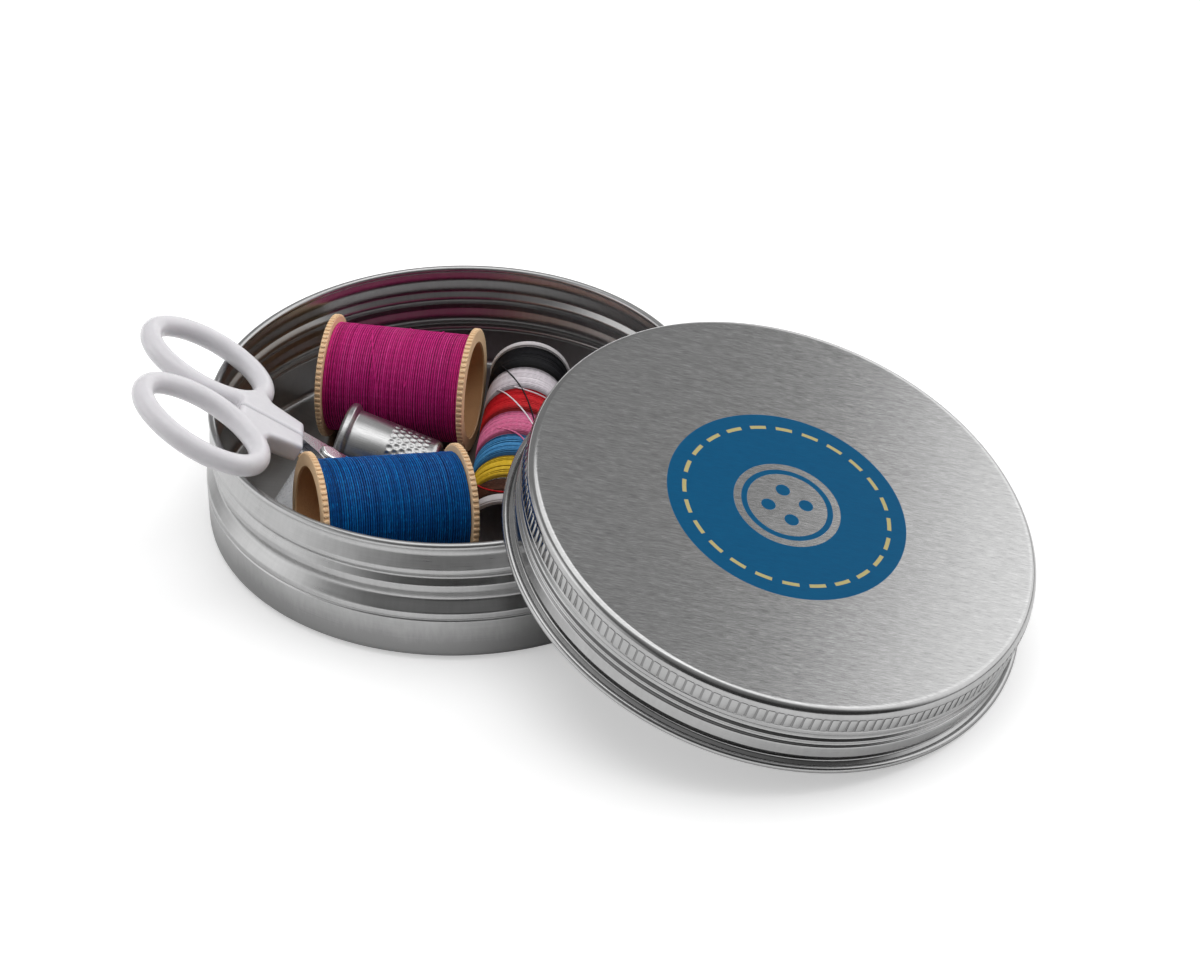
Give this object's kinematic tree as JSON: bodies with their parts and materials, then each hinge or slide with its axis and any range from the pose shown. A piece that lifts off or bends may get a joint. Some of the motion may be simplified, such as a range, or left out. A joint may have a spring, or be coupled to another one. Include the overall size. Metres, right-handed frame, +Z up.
{
  "type": "sewing tin",
  "caption": "Round screw-top metal tin, open, with its lid leaning on the rim, holding reels of thread, a banded thread roll, a thimble, a clear packet and folding scissors.",
  "frame": {"origin": "centre of the tin's flat underside", "axes": "+Z up along the tin's axis, +X to the right and +Y away from the side that the lid slopes down to; the lid leans at the front right"},
  "size_m": [0.1511, 0.1272, 0.0396],
  "materials": {
    "tin": "drawn sheet with soft rings of reflections",
    "lid": "brushed top with a knurled skirt",
    "reel_card": "plain beige pressed card",
    "magenta_thread": "cotton thread, wound close",
    "blue_thread": "cotton thread, wound close",
    "card_tube": "pale rolled card",
    "brown_thread": "cotton thread",
    "yellow_thread": "cotton thread",
    "light_blue_thread": "cotton thread",
    "pink_thread": "cotton thread",
    "red_thread": "cotton thread",
    "white_thread": "cotton thread",
    "black_thread": "cotton thread",
    "thimble": "bright dimpled metal",
    "clear": "clear flat packet",
    "handles": "off-white moulded plastic",
    "blades": "polished steel",
    "rivet": "polished domed head"
  },
  "bodies": {
    "tin": {"tin_base": "tin"},
    "lid": {"lid_shell": "lid"},
    "magenta_reel": {"spool_magenta": "reel_card", "thread_magenta": "magenta_thread"},
    "blue_reel": {"spool_blue": "reel_card", "thread_blue": "blue_thread"},
    "thimble": {"thimble": "thimble"},
    "thread_roll": {"roll_tube": "card_tube", "band_brown": "brown_thread", "band_yellow": "yellow_thread", "band_light_blue": "light_blue_thread", "band_pink": "pink_thread", "band_red": "red_thread", "band_white": "white_thread", "band_black": "black_thread"},
    "sleeve": {"clear_sleeve": "clear"},
    "scissors_far": {"handle_far": "handles", "blade_far": "blades", "rivet": "rivet"},
    "scissors_near": {"handle_near": "handles", "blade_near": "blades"}
  },
  "joints": [
    {"name": "lid_lift", "type": "slide", "parent": "tin", "child": "lid", "axis": [0.2393, -0.1748, 0.9551], "range_m": [0, 0.04]},
    {"name": "magenta_reel_lift", "type": "slide", "parent": "tin", "child": "magenta_reel", "axis": [0, 0, 1], "range_m": [0, 0.045]},
    {"name": "blue_reel_lift", "type": "slide", "parent": "tin", "child": "blue_reel", "axis": [0, 0, 1], "range_m": [0, 0.045]},
    {"name": "thimble_lift", "type": "slide", "parent": "tin", "child": "thimble", "axis": [0, 0, 1], "range_m": [0, 0.045]},
    {"name": "thread_roll_lift", "type": "slide", "parent": "tin", "child": "thread_roll", "axis": [0, 0, 1], "range_m": [0, 0.0075]},
    {"name": "sleeve_slide", "type": "slide", "parent": "tin", "child": "sleeve", "axis": [-0.9438, 0.3305, 0], "range_m": [0, 0.005]},
    {"name": "scissors_pull", "type": "slide", "parent": "tin", "child": "scissors_far", "axis": [-0.8343, 0.0619, 0.5479], "range_m": [0, 0.06]},
    {"name": "scissors_open", "type": "hinge", "parent": "scissors_far", "child": "scissors_near", "pos_m": [-0.02277, -0.00874, 0.01644], "axis": [0.5512, 0.1188, 0.8259], "range_deg": [0, 6]}
  ]
}
